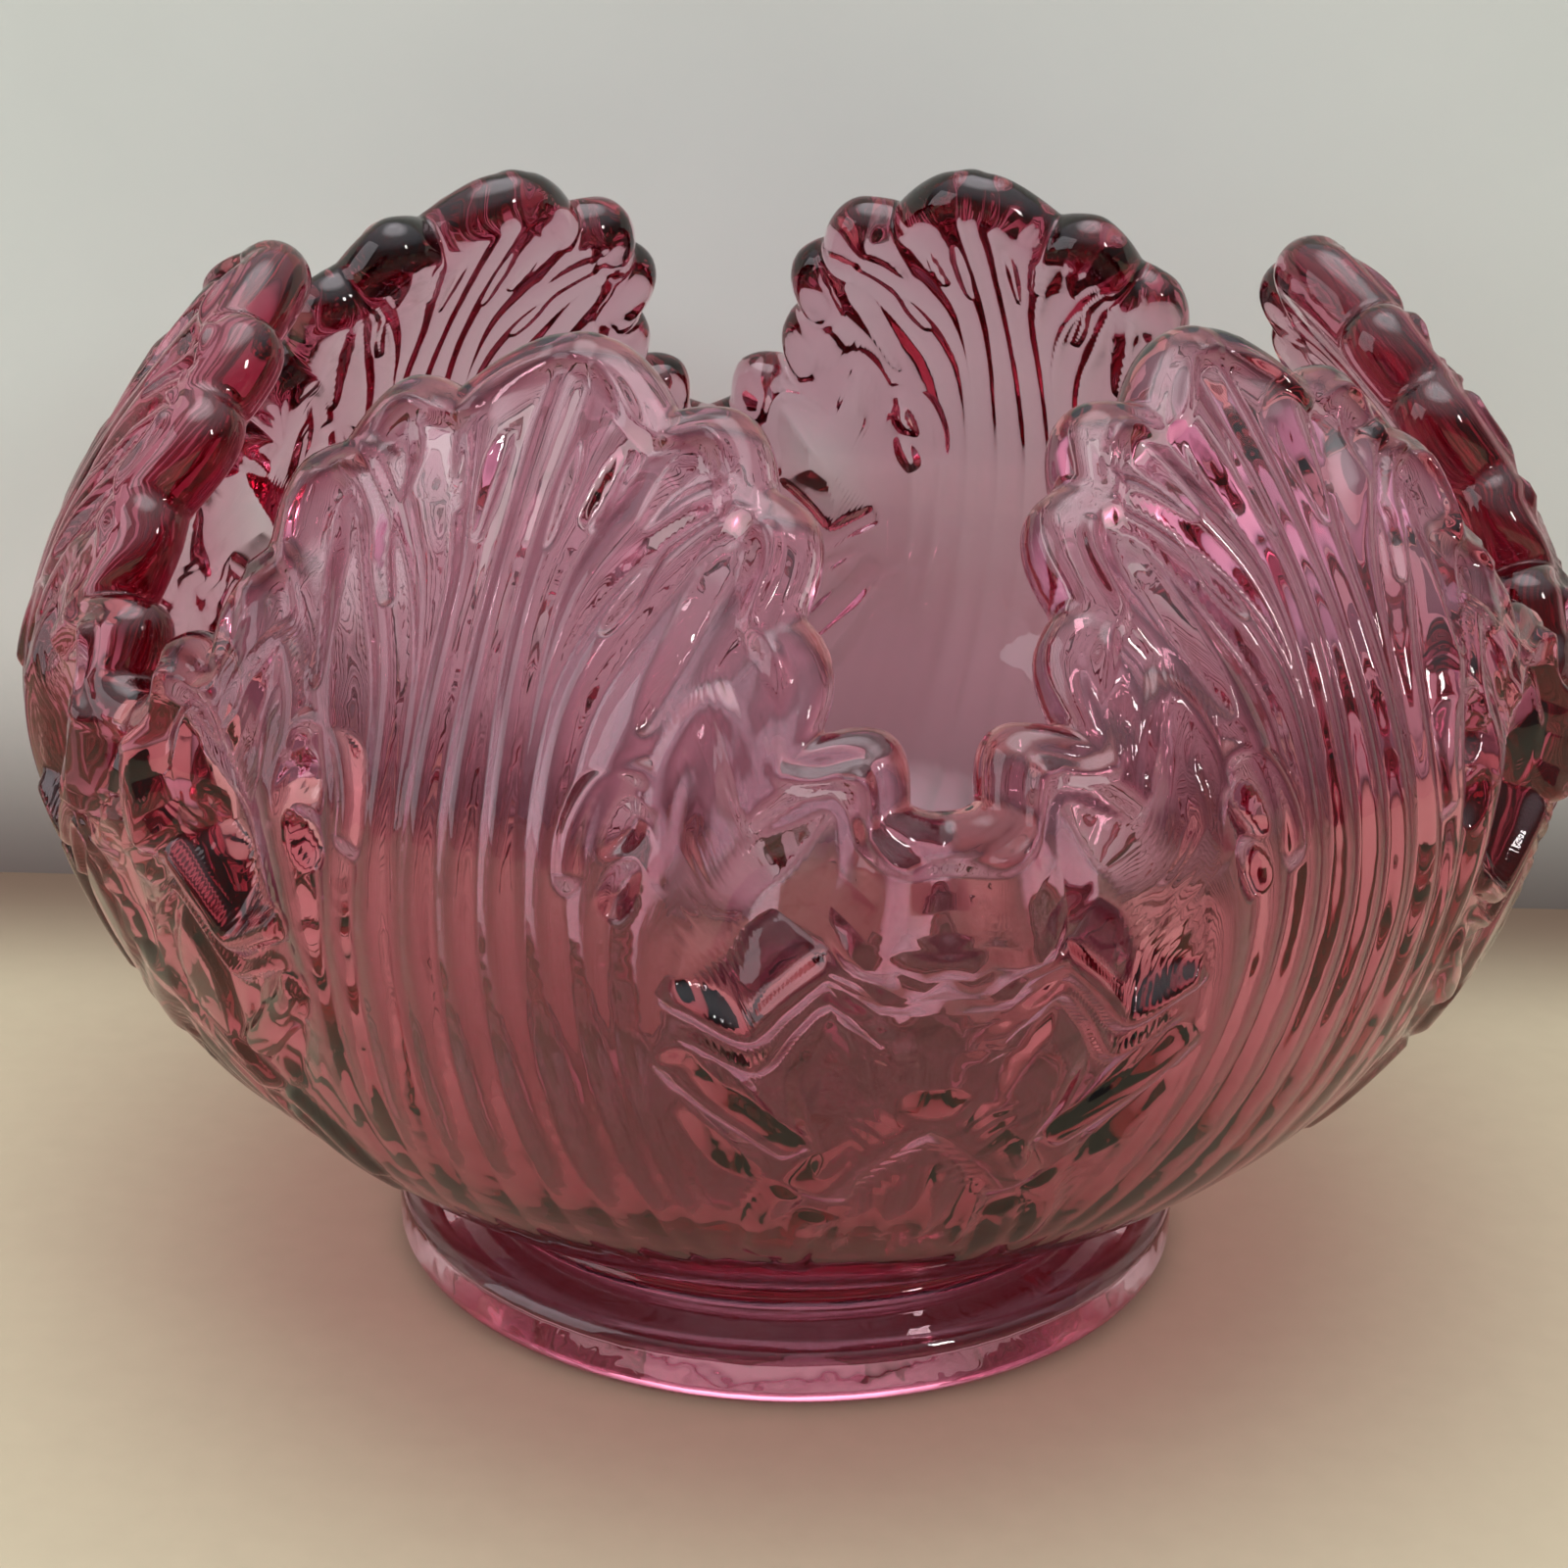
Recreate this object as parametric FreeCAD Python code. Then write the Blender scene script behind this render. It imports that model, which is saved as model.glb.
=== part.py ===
import FreeCAD, Part
import math
import os

# Pressed glass bowl with six leaves, standing on a round foot.
# Millimetres and degrees. +Z is up, the foot rests on Z = 0, and the bowl's axis is Z.
# A notch between two leaves faces -Y.

# Bowl
LEAVES = 6
WALL = 6.6                # wall thickness
SEAT_Z = 8.5              # height of the flat where the bowl meets its foot
FLOOR_Z = 13.2            # inner floor, at the axis
FLOOR_RADIUS = 12.0       # flat disc in the middle of the inner floor
# Outer wall as (height, radius), from the seat over the belly to the leaf tips
WALL_PROFILE = (
    (8.5, 34.0), (14.4, 43.9), (21.6, 53.6), (30.6, 62.6), (43.0, 70.8),
    (56.0, 75.6), (66.5, 76.7), (75.6, 74.8), (84.6, 70.7), (94.0, 63.8), (107.0, 51.5),
)

# Half a leaf's edge, from its tip to the notch: each line is the point where a lobe starts, as
# (degrees from the leaf's centre line, height), how far the lobe bulges, and which way the edge
# faces there, in degrees away from straight up.
LEAF_EDGE = (
    (-10.2, 102.2, 4.9, -22.0),
    (10.2, 102.2, 2.6, 22.0),
    (18.9, 97.0, 2.6, 52.0),
    (21.0, 88.6, 1.8, 72.0),
    (22.2, 80.0, 3.2, 46.0),
    (27.8, 74.6, -0.9, 58.0),
    (32.2, 74.6, 0.0, -58.0),
)

# Carved relief
RIB_COUNT = 3             # ribs on half a leaf
RIB_DEPTH = 0.6
RIB_FADE_Z = 17.0         # the ribs die out at this height above the foot
DISH_DEPTH = 1.6          # hollow in each small leaflet
DISH_AZIMUTH = 20.0       # from the leaf's centre line
DISH_Z = 66.0
DISH_HALF_WIDTH = 4.6     # degrees
DISH_HALF_HEIGHT = 8.5

# Foot
FOOT_RADIUS = 41.9
FOOT_FACE = 6.7           # height of its outer face
FOOT_EDGE = 2.0           # rounding of the outer edges
NECK_RADIUS = 34.0
NECK_SLOPE = 0.5          # the foot's top rises by this much to the neck
RECESS_DEPTH = 3.9        # recess under the foot
RECESS_RADIUS = 34.0      # radius of its ceiling; its wall slopes out to the table at 45 degrees

# Fineness of the carved wall
COLUMNS_PER_LEAF = 26
OUTER_ROWS = 24
RIM_ROWS = 4
INNER_ROWS = 12
FLOOR_ROWS = 4
RUN_IN = 12.0             # length over which a column of points turns to meet the edge squarely
LOBE_REACH = 7            # the higher, the closer to the rim the lobes stay
FLAT = 0.01               # an edge that rises less than this is level
RIM_BAND_ROWS = 3         # rows of either wall that belong to the rim's own face


def smooth_value(points, x):
    """Smooth curve through (x, y) points: the value and the slope at x."""
    last = len(points) - 1
    i = 0
    while i < last - 1 and x > points[i + 1][0]:
        i += 1
    slopes = []
    for j in (i, i + 1):
        a = points[max(j - 1, 0)]
        b = points[min(j + 1, last)]
        slopes.append((b[1] - a[1]) / (b[0] - a[0]))
    (x0, y0), (x1, y1) = points[i], points[i + 1]
    h = x1 - x0
    t = (x - x0) / h
    value = (
        (1 + 2 * t) * (1 - t) ** 2 * y0 + t * (1 - t) ** 2 * h * slopes[0]
        + t * t * (3 - 2 * t) * y1 + t * t * (t - 1) * h * slopes[1]
    )
    slope = (
        6 * t * (t - 1) * (y0 - y1) / h
        + (1 - t) * (1 - 3 * t) * slopes[0] + t * (3 * t - 2) * slopes[1]
    )
    return value, slope


def wall_normal(slope):
    """Outward normal and upward tangent of the wall, as (radial, height), from its slope dr/dz."""
    length = math.hypot(1.0, slope)
    return (1 / length, -slope / length), (slope / length, 1 / length)


def lobe_point(i, t):
    """Point at t (0 to 1) along lobe i of the leaf edge: azimuth, height and lean in degrees."""
    a0, z0, bulge, lean0 = LEAF_EDGE[i]
    a1, z1, _, lean1 = LEAF_EDGE[i + 1]
    x0 = math.radians(a0) * smooth_value(WALL_PROFILE, z0)[0]
    x1 = math.radians(a1) * smooth_value(WALL_PROFILE, z1)[0]
    chord = math.hypot(x1 - x0, z1 - z0)
    out = 4 * t * (1 - t) * bulge / chord
    x = x0 + (x1 - x0) * t - (z1 - z0) * out
    z = z0 + (z1 - z0) * t + (x1 - x0) * out
    azimuth = math.degrees(x / smooth_value(WALL_PROFILE, z)[0])
    return azimuth, z, lean0 + (lean1 - lean0) * t


def lobe_length(i, start, end):
    """Length of lobe i between two of its t values."""
    steps = 12
    points = []
    for n in range(steps + 1):
        azimuth, z, _ = lobe_point(i, start + (end - start) * n / steps)
        points.append((math.radians(azimuth) * smooth_value(WALL_PROFILE, z)[0], z))
    return sum(math.dist(points[n], points[n + 1]) for n in range(steps))


def half_edge_spans():
    """Stretches of the half edge as (lobe, first t, last t, length), from leaf tip to notch."""
    last = len(LEAF_EDGE) - 2
    spans = []
    for i in range(last + 1):
        start = 0.5 if i == 0 else 0.0
        end = 0.5 if i == last else 1.0
        spans.append((i, start, end, lobe_length(i, start, end)))
    return spans


SPANS = half_edge_spans()
HALF_EDGE = sum(span[3] for span in SPANS)
HALF_LEAF = 180.0 / LEAVES


def edge_point(p):
    """Leaf edge at p, from 0 at the tip to 1 in the notch."""
    want = p * HALF_EDGE
    for i, start, end, length in SPANS:
        if want <= length or i == SPANS[-1][0]:
            return lobe_point(i, start + (end - start) * min(want / length, 1.0))
        want -= length


def plain_edge_points():
    """Where the lobes meet, mirrored beyond the tip and the notch, as (p, azimuth) and (p, height)."""
    share = 0.0
    azimuths = []
    heights = []
    for i, _, _, length in SPANS[:-1]:
        share += length / HALF_EDGE
        azimuths.append((share, LEAF_EDGE[i + 1][0]))
        heights.append((share, LEAF_EDGE[i + 1][1]))
    azimuths = [(0.0, 0.0)] + azimuths + [(1.0, HALF_LEAF)]
    tip = (0.0, LEAF_EDGE[0][1] + LEAF_EDGE[0][2] / 2)
    heights = [tip] + heights + [(1.0, LEAF_EDGE[-1][1])]
    return azimuths, heights


PLAIN_AZIMUTHS, PLAIN_HEIGHTS = plain_edge_points()


def column(p):
    """The curve that climbs the wall to a plain edge at p, and what the lobes add at its end."""
    azimuth, z, lean = edge_point(p)
    radius, slope = smooth_value(WALL_PROFILE, z)
    _, along = wall_normal(slope)
    side = math.degrees(math.sin(math.radians(lean)) / radius)
    rise = math.cos(math.radians(lean)) * along[1]
    top = (azimuth - side * WALL / 2, z - rise * WALL / 2)
    plain_azimuth = smooth_value(PLAIN_AZIMUTHS, p)[0]
    plain_z = smooth_value(PLAIN_HEIGHTS, p)[0]
    plain_top = (plain_azimuth - side * WALL / 2, plain_z - rise * WALL / 2)
    below = (plain_top[0] - side * RUN_IN, plain_top[1] - rise * RUN_IN)
    foot = (HALF_LEAF * p, SEAT_Z)
    above = (HALF_LEAF * p, SEAT_Z + 0.45 * (plain_top[1] - SEAT_Z))
    lobe = (top[0] - plain_top[0], top[1] - plain_top[1])
    return (foot, above, below, plain_top), lobe, lean


def climb(curve, lobe, t):
    """Azimuth and height at t (0 to 1) up a column. The lobes only show near its end."""
    share = t ** LOBE_REACH
    return [value + share * add for value, add in zip(bezier(curve, t), lobe)]


def bezier(points, t):
    """Cubic Bezier value, coordinate by coordinate."""
    weights = ((1 - t) ** 3, 3 * t * (1 - t) ** 2, 3 * t * t * (1 - t), t ** 3)
    return [sum(w * point[n] for w, point in zip(weights, points)) for n in range(2)]


def fade(x, start, end):
    """Smooth step from 0 at start to 1 at end."""
    t = min(max((x - start) / (end - start), 0.0), 1.0)
    return t * t * (3 - 2 * t)


def relief(p, t, azimuth, z):
    """Depth of the carving below the outer wall."""
    ribs_end = 0.62
    ribs = 0.5 + 0.5 * math.cos(2 * math.pi * RIB_COUNT * p / ribs_end)
    ribs *= 1 - fade(p, ribs_end - 0.06, ribs_end)
    depth = RIB_DEPTH * ribs * fade(z, RIB_FADE_Z, RIB_FADE_Z + 16) * (1 - fade(t, 0.9, 1.0))
    across = (azimuth - DISH_AZIMUTH - 0.15 * (z - DISH_Z)) / DISH_HALF_WIDTH
    up = (z - DISH_Z) / DISH_HALF_HEIGHT
    return depth + DISH_DEPTH * (1 - fade(math.hypot(across, up), 0.5, 1.15))


def place(azimuth, radius, z):
    """Point from its azimuth, measured from -Y towards +X."""
    angle = math.radians(azimuth)
    return FreeCAD.Vector(radius * math.sin(angle), -radius * math.cos(angle), z)


def wall_column(p, side, middle):
    """One closed-over column of wall points: outside, round the rim, inside and over the floor."""
    curve, lobe, lean = column(p)
    points = []
    for row in range(OUTER_ROWS + 1):
        t = row / OUTER_ROWS
        azimuth, z = climb(curve, lobe, t)
        radius, slope = smooth_value(WALL_PROFILE, z)
        out, _ = wall_normal(slope)
        depth = relief(p, t, azimuth, z)
        points.append(place(middle + side * azimuth, radius - out[0] * depth, z - out[1] * depth))
    azimuth, z = climb(curve, lobe, 1.0)
    radius, slope = smooth_value(WALL_PROFILE, z)
    out, along = wall_normal(slope)
    half = WALL / 2
    for row in range(1, RIM_ROWS + 1):
        turn = math.pi * row / (RIM_ROWS + 1)
        through = half * (math.cos(turn) - 1)
        rise = half * math.sin(turn) * math.cos(math.radians(lean))
        shift = half * math.sin(turn) * math.sin(math.radians(lean))
        rim_radius = radius + out[0] * through + along[0] * rise
        turned = azimuth + math.degrees(shift / rim_radius)
        points.append(place(middle + side * turned, rim_radius, z + out[1] * through + along[1] * rise))
    for row in range(INNER_ROWS + 1):
        azimuth, z = climb(curve, lobe, 1 - row / INNER_ROWS)
        radius, slope = smooth_value(WALL_PROFILE, z)
        out, _ = wall_normal(slope)
        inside = (radius - out[0] * WALL, z - out[1] * WALL)
        points.append(place(middle + side * azimuth, inside[0], inside[1]))
    bend = (inside[1] - FLOOR_Z) / -out[1] * out[0]
    for row in range(1, FLOOR_ROWS + 1):
        t = row / FLOOR_ROWS
        radius = (1 - t) ** 2 * inside[0] + 2 * t * (1 - t) * (inside[0] - bend) + t * t * FLOOR_RADIUS
        z = FLOOR_Z + (1 - t) ** 2 * (inside[1] - FLOOR_Z)
        points.append(place(middle + side * azimuth, radius, z))
    return points


def leaf_bowl():
    """The bowl as one solid: a smooth carved wall closed by a seat below and a disc on its floor."""
    half_columns = [wall_column(2 * n / COLUMNS_PER_LEAF, 1, 0) for n in range(COLUMNS_PER_LEAF // 2 + 1)]
    poles = []
    for leaf in range(LEAVES):
        middle = HALF_LEAF * (2 * leaf + 1)
        for n in range(COLUMNS_PER_LEAF):
            offset = n - COLUMNS_PER_LEAF // 2
            base = half_columns[abs(offset)]
            poles.append([mirrored(point, offset < 0, middle) for point in base])
    around = len(poles)
    up = len(poles[0])
    marks = (0, OUTER_ROWS - RIM_BAND_ROWS, OUTER_ROWS + RIM_ROWS + RIM_BAND_ROWS, up - 3)
    faces = []
    for start, end in zip(marks[:-1], marks[1:]):
        surface = Part.BSplineSurface()
        surface.buildFromPolesMultsKnots(
            poles, [1] * (around + 1), [4] + [1] * (up - 4) + [4],
            list(range(around + 1)), list(range(up - 2)), True, False, 3, 3,
        )
        surface.segment(0, around, start, end)
        faces.append(surface.toShape())
    for face in (faces[0], faces[-1]):
        ring = [edge for edge in face.Edges if edge.isClosed() and edge.BoundBox.ZLength < FLAT][0]
        faces.append(Part.Face(Part.Wire([ring])))
    shell = Part.Shell(faces)
    shell.sewShape()
    solid = Part.Solid(shell)
    if solid.Volume < 0:
        solid.reverse()
    return solid


def mirrored(point, flip, middle):
    """A column point of the first leaf turned to its own leaf, mirrored for the leaf's left half."""
    x = -point.x if flip else point.x
    angle = math.radians(middle)
    return FreeCAD.Vector(
        x * math.cos(angle) - point.y * math.sin(angle),
        x * math.sin(angle) + point.y * math.cos(angle),
        point.z,
    )


def arc(start, middle, end):
    """Arc through three (radius, height) points."""
    return Part.Arc(*[FreeCAD.Vector(r, 0, z) for r, z in (start, middle, end)]).toShape()


def line(start, end):
    """Straight edge between two (radius, height) points."""
    return Part.LineSegment(FreeCAD.Vector(start[0], 0, start[1]), FreeCAD.Vector(end[0], 0, end[1])).toShape()


def foot_ring():
    """The foot: a round-edged disc with a coned recess underneath and a short neck on top."""
    corner = FOOT_EDGE * (1 - math.sqrt(0.5))
    edge = FOOT_RADIUS - FOOT_EDGE
    lip = RECESS_RADIUS + RECESS_DEPTH
    edges = [
        line((0, RECESS_DEPTH), (RECESS_RADIUS, RECESS_DEPTH)),
        line((RECESS_RADIUS, RECESS_DEPTH), (lip, 0)),
        line((lip, 0), (edge, 0)),
        arc((edge, 0), (FOOT_RADIUS - corner, corner), (FOOT_RADIUS, FOOT_EDGE)),
        line((FOOT_RADIUS, FOOT_EDGE), (FOOT_RADIUS, FOOT_FACE - FOOT_EDGE)),
        arc((FOOT_RADIUS, FOOT_FACE - FOOT_EDGE), (FOOT_RADIUS - corner, FOOT_FACE - corner), (edge, FOOT_FACE)),
        line((edge, FOOT_FACE), (NECK_RADIUS, FOOT_FACE + NECK_SLOPE)),
        line((NECK_RADIUS, FOOT_FACE + NECK_SLOPE), (NECK_RADIUS, SEAT_Z)),
        line((NECK_RADIUS, SEAT_Z), (0, SEAT_Z)),
        line((0, SEAT_Z), (0, RECESS_DEPTH)),
    ]
    section = Part.Face(Part.Wire(edges))
    return section.revolve(FreeCAD.Vector(0, 0, 0), FreeCAD.Vector(0, 0, 1), 360)


def main():
    os.makedirs("parts", exist_ok=True)
    for name, build in (("leaf_bowl", leaf_bowl), ("foot_ring", foot_ring)):
        shape = build()
        box = shape.BoundBox
        print(name, shape.ShapeType, shape.isValid(), round(shape.Volume, 1),
              [round(v, 2) for v in (box.XMin, box.YMin, box.ZMin, box.XMax, box.YMax, box.ZMax)])
        shape.exportStep("parts/" + name + ".step")


main()
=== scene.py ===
import math

import bpy
import numpy as np
from mathutils import Matrix, Vector


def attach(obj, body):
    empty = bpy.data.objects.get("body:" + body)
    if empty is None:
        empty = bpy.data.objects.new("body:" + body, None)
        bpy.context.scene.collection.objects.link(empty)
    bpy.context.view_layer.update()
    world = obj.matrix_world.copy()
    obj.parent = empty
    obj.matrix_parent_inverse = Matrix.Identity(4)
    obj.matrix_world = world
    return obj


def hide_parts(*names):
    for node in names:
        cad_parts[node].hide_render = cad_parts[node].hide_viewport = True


# Pressed pink glass bowl with six leaves on a round foot, on a pale table in front of a low pale backdrop.
# Sizes are millimetres and degrees; MM turns them into Blender's metres.
MM = 0.001

# ---------------------------------------------------------------- the bowl, as in the CAD model
LEAVES = 6
HALF_LEAF = 180.0 / LEAVES
WALL = 6.6
SEAT_Z = 8.5
FLOOR_Z = 13.2
SEAT_GAP = 0.02           # hairline between the bowl's seat and its foot
SEAT_RADII = np.array((8.0, 16.0, 24.0, 30.0, 33.6, 33.85, 33.95))
SEAT_EASING = 0.02        # how much higher the seat's outermost points are
# Outer wall as (height, radius), from the seat over the belly to the leaf tips
WALL_PROFILE = np.array((
    (8.5, 34.0), (14.4, 43.9), (21.6, 53.6), (30.6, 62.6), (43.0, 70.8),
    (56.0, 75.6), (66.5, 76.7), (75.6, 74.8), (84.6, 70.7), (94.0, 63.8), (107.0, 51.5),
))
# Half a leaf's edge from tip to notch. Each line starts a lobe: degrees from the leaf's centre
# line, height, how far the lobe bulges, and the way the edge faces in degrees from straight up.
LEAF_EDGE = np.array((
    (-10.2, 102.2, 4.9, -22.0),
    (10.2, 102.2, 2.6, 22.0),
    (18.9, 97.0, 2.6, 52.0),
    (21.0, 88.6, 1.8, 72.0),
    (22.2, 80.0, 3.2, 46.0),
    (27.8, 74.6, -0.9, 58.0),
    (32.2, 74.6, 0.0, -58.0),
))
HALF_COLUMNS = 96         # mesh columns over half a leaf
OUTER_ROWS = 360
RIM_ROWS = 14
INNER_ROWS = 110
FLOOR_ROWS = 26
LOBE_STEPS = 60           # points along each lobe of the edge
RUN_IN = 12.0             # length over which a column of points turns to meet the edge squarely
START_HANDLE = 0.45       # how far up a column aims before it turns, as a share of its height
LOBE_REACH = 7            # the higher, the closer to the rim the lobes stay

# ---------------------------------------------------------------- the carving, on half a leaf
# Points are (degrees from the leaf's centre line, height).
# Creases fan out from the stem to the leaf's edge; between two creases the glass swells into a rib.
CREASES = (
    ((1.8, 100.0), (1.3, 93.0), (1.2, 84.0), (1.4, 74.0), (1.4, 60.0), (1.7, 45.0), (2.3, 30.0),
     (3.2, 18.0)),
    ((10.4, 102.0), (7.8, 97.5), (5.4, 92.5), (4.2, 88.0), (3.9, 80.0), (4.0, 65.0), (4.6, 48.0),
     (5.8, 34.0), (8.0, 20.0)),
    ((19.0, 97.6), (14.8, 95.2), (11.0, 92.4), (7.6, 88.7), (5.5, 84.0), (4.6, 78.0), (4.4, 65.0),
     (4.9, 48.0), (6.1, 34.0), (8.3, 20.0)),
    ((21.6, 95.6), (15.4, 93.4), (12.6, 90.2), (10.4, 86.4), (8.0, 81.0), (7.0, 74.0), (7.2, 64.0),
     (8.0, 50.0), (9.8, 36.0), (12.6, 22.0)),
    ((21.8, 89.2), (19.0, 87.2), (16.4, 84.4), (13.8, 79.6), (11.4, 74.0), (10.0, 67.0), (9.8, 60.0),
     (10.6, 48.0), (12.8, 34.0), (16.0, 20.0)),
    ((22.6, 80.2), (20.4, 77.4), (17.4, 72.6), (14.6, 66.0), (13.2, 58.0), (12.8, 50.0), (14.4, 38.0),
     (17.0, 28.0), (19.0, 20.0)),
)
RIB_RISE = 0.22           # how far a rib swells, as a share of its width
RIB_LIMIT = 1.6           # and at most
# Ridges: (half width, height), then points along the line
RIDGES = (
    ((1.7, 1.4), (7.4, 66.0), (7.5, 71.6), (9.2, 76.0), (12.0, 76.4), (13.2, 71.6), (12.4, 66.0)),
    ((2.1, 1.5), (12.5, 72.0), (13.0, 77.6), (15.4, 81.6), (17.9, 79.0), (19.0, 73.6)),
    ((2.1, 1.5), (25.8, 77.4), (23.4, 77.8), (20.8, 77.0), (18.6, 75.2), (16.9, 73.2)),
    ((2.6, 2.4), (23.6, 78.4), (25.6, 75.6), (26.3, 71.0), (26.0, 66.0), (24.4, 60.8)),
    ((1.5, 0.9), (25.4, 57.6), (27.6, 59.4), (29.2, 61.6), (30.0, 62.6), (30.8, 61.6), (32.4, 59.4),
     (34.6, 57.6)),
    ((1.5, 1.2), (12.7, 59.2), (15.2, 57.4), (18.1, 55.4), (20.4, 58.4), (22.8, 61.4), (24.8, 62.4)),
    ((0.9, 0.9), (13.2, 55.0), (16.0, 53.6), (18.7, 52.2), (20.8, 56.2), (23.0, 58.9), (25.6, 55.7),
     (27.6, 50.5), (27.6, 46.5), (26.1, 42.8), (22.6, 37.6)),
    ((2.0, 0.9), (12.8, 53.4), (14.9, 49.4), (18.0, 46.0), (21.6, 42.0)),
    ((2.8, 1.1), (22.0, 36.0), (25.0, 41.2), (28.2, 45.4), (30.0, 46.8), (31.8, 45.4), (35.0, 41.2),
     (38.0, 36.0)),
    ((1.9, 0.7), (21.0, 38.0), (19.2, 33.4), (19.0, 26.0)),
    ((1.9, 0.6), (23.0, 34.4), (21.6, 30.0), (21.0, 22.0)),
)
# Hollows: (depth, width of the bank), then the closed outline. A negative depth raises a cushion.
HOLLOWS = (
    ((3.4, 4.8), (22.9, 74.2), (20.4, 73.2), (17.2, 71.2), (14.9, 67.0), (13.9, 61.0), (13.9, 59.0),
     (17.6, 56.6), (20.4, 59.8), (22.8, 62.6), (23.3, 66.0), (23.4, 71.0)),
    ((1.5, 1.5), (12.0, 74.0), (10.4, 74.4), (9.3, 71.6), (9.6, 69.8), (11.5, 71.2)),
    ((1.5, 1.4), (11.8, 69.6), (10.2, 69.4), (9.0, 66.4), (10.2, 64.6), (11.6, 66.6)),
    ((1.4, 2.2), (15.5, 79.6), (16.6, 78.2), (17.4, 74.2), (16.6, 71.2), (14.8, 69.6), (14.0, 73.0),
     (14.4, 77.4)),
    ((1.8, 2.6), (16.4, 94.6), (18.2, 92.8), (18.0, 89.4), (15.2, 84.2), (12.2, 79.6), (10.8, 79.6),
     (11.4, 84.6), (13.6, 90.8)),
    ((1.3, 1.9), (20.8, 86.4), (21.1, 82.2), (19.4, 78.4), (17.8, 79.2), (18.6, 83.4)),
    ((1.5, 1.4), (11.2, 92.4), (9.6, 90.8), (7.6, 86.8), (8.4, 86.0), (10.4, 88.8)),
    ((1.3, 1.2), (7.2, 98.8), (5.7, 97.2), (4.6, 93.8), (5.6, 93.4), (7.1, 96.8)),
    ((1.2, 1.1), (3.2, 99.0), (2.3, 96.4), (2.5, 91.4), (3.5, 92.6), (4.1, 96.6)),
    ((1.5, 2.0), (12.4, 99.2), (15.4, 98.4), (16.0, 96.8), (12.6, 95.2), (9.4, 93.0), (9.8, 96.6)),
    ((0.6, 1.8), (15.8, 52.6), (18.4, 50.4), (19.5, 47.8), (20.4, 45.0), (17.9, 47.6)),
    ((0.8, 2.2), (13.6, 50.2), (13.2, 46.6), (14.6, 42.6), (16.8, 39.4), (19.1, 40.0), (18.4, 43.2),
     (15.8, 46.8)),
    ((-0.8, 1.6), (20.2, 51.6), (21.4, 54.8), (23.0, 57.0), (25.0, 54.4), (26.6, 50.2), (26.6, 47.0),
     (25.4, 44.0), (22.9, 40.0), (21.6, 43.8), (20.6, 47.4)),
    ((1.5, 2.0), (28.2, 70.0), (30.0, 72.0), (31.8, 70.0), (31.5, 67.0), (30.0, 62.4), (28.5, 67.0)),
    ((0.5, 3.2), (28.0, 58.0), (30.0, 60.4), (32.0, 58.0), (32.0, 51.6), (30.0, 49.6), (28.0, 51.6)),
    ((-0.7, 2.2), (28.8, 43.2), (29.7, 39.0), (29.4, 33.0), (28.4, 29.0), (27.2, 32.6), (27.0, 38.4)),
    ((-0.6, 2.0), (25.4, 38.6), (26.3, 35.0), (25.9, 30.0), (24.8, 26.6), (23.9, 30.2), (24.0, 35.4)),
)
RIB_ROUNDNESS = 1.2       # the higher, the narrower the crest
RIB_FADE_Z = (28.0, 85.0)
RIB_AT_FOOT = 0.12        # share of the rise that is left at the bottom
BEAD = 4.8                # width of the plump border that follows the leaf's edge
BEAD_HEIGHT = 1.3
BEAD_PROUD = 0.3          # share of its height that stands out of the wall
BEAD_AT_FOOT = 0.3        # share of its height that is left low on the bowl
BEAD_FADE_Z = (60.0, 84.0)
CARVING_FADE_Z = (13.0, 30.0)

# ---------------------------------------------------------------- the foot, as in the CAD model
FOOT_RADIUS = 41.9
FOOT_FACE = 6.7
FOOT_EDGE = 2.0
NECK_RADIUS = 34.0
RECESS_DEPTH = 3.9        # recess under the foot
RECESS_RADIUS = 34.0      # radius of its ceiling; its wall slopes out to the table at 45 degrees
NECK_FILLET = 1.3
FOOT_SEGMENTS = 384

# ---------------------------------------------------------------- glass
GLASS_TINT = (0.80, 0.05, 0.29, 1)
BOWL_DENSITY = 88.0       # per metre
FOOT_DENSITY = 48.0
LEAF_SKIN = (0.90, 0.97, 0.97, 1)     # light that each surface lets through, high on the leaves
BELLY_SKIN_AND_SHADE = (0.80, 0.58, 0.66, 1)    # and lower down darker and redder: painted shade on the bowl's lower part
BELLY_FADE_Z = (30.0, 70.0)
FOOT_SKIN = (1.0, 1.0, 1.0, 1)
BOWL_SHADE = (0.60, 0.54, 0.50, 1)    # light that passes through to the table
FOOT_SHADE = (0.22, 0.03, 0.04, 1)
GLASS_IOR = 1.5
GLASS_SHINE = 0.45
WAVE_GRAIN = 160.0        # the higher, the finer
WAVE_STRENGTH = 0.2
WAVE_DEPTH = 0.5
HAZE_GRAIN = 35.0
HAZE_NOISE = (0.35, 0.75)   # values of the noise where haze sets in and where it is full
HAZE_ROUGHNESS = 0.012

# ---------------------------------------------------------------- camera and room
CAMERA_DISTANCE = 291.7   # from the bowl's axis, along the table
CAMERA_HEIGHT = 155.1
CAMERA_AZIMUTH = -9.34    # from -Y towards +X
CAMERA_PITCH = 20.06      # looking down
CAMERA_YAW = -0.2257
CAMERA_ROLL = -1.282
CAMERA_LENS = 68.28
CAMERA_SHIFT_Y = 0.0035
WALL_BEHIND = 92.0        # distance of the backdrop from the bowl's axis
WALL_HEIGHT = 190.0
TABLE_COLOR = (0.36, 0.33, 0.22)
TABLE_GRAIN = 260.0       # the higher, the finer
TABLE_CORNER_SHADE = (0.14, 0.10, 0.065, 1)     # painted shade on the table along the backdrop
TABLE_CORNER_SHADE_REACH = (2.0, 45.0)          # distance from it over which that colour gives way
UNDER_FOOT_SHADOW = (0.10, 0.0, 0.0, 1)          # painted rose shadow: only light that came through thick glass gets there
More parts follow.
